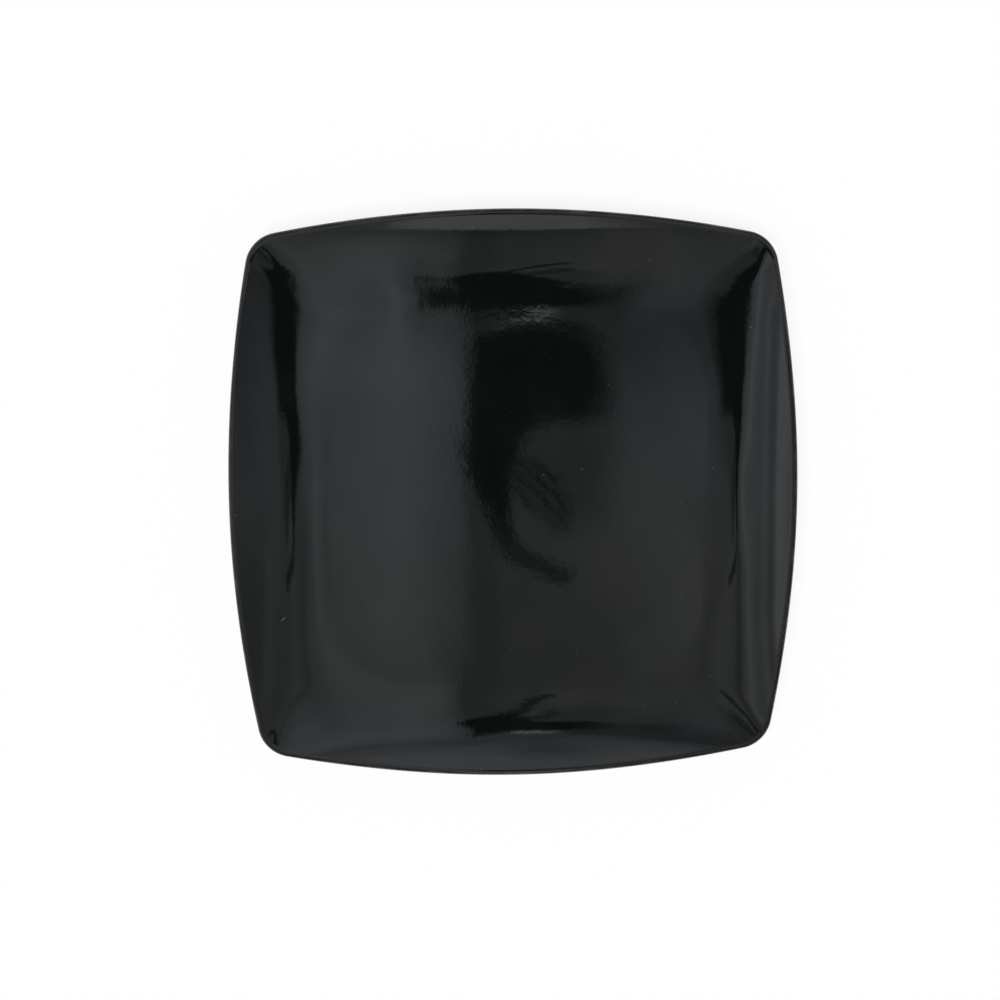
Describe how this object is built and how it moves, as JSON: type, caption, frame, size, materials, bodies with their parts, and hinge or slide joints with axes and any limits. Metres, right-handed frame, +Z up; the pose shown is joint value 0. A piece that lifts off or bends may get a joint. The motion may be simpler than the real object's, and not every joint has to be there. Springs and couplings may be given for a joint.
{
  "type": "square dinner plate",
  "caption": "Square dinner plate with gently bowed sides, a flat well, upswept rims that flow into rounded corners and a round foot ring.",
  "frame": {"origin": "on the table plane, under the middle of the plate", "axes": "+Z up through the middle of the well, +X and +Y through the middles of two neighbouring sides"},
  "size_m": [0.267, 0.267, 0.0211],
  "materials": {
    "fired_clay": "dry, fine grained",
    "dry_foot_clay": "dry, sanded smooth",
    "face_glaze": "high gloss black, thinner and olive brown at the lip",
    "underside_glaze": "high gloss black",
    "foot_well_glaze": "high gloss black"
  },
  "bodies": {
    "root": {"stoneware_body": "fired_clay", "foot_ring": "dry_foot_clay", "face_glaze": "face_glaze", "underside_glaze": "underside_glaze", "foot_well_glaze": "foot_well_glaze"}
  },
  "joints": []
}
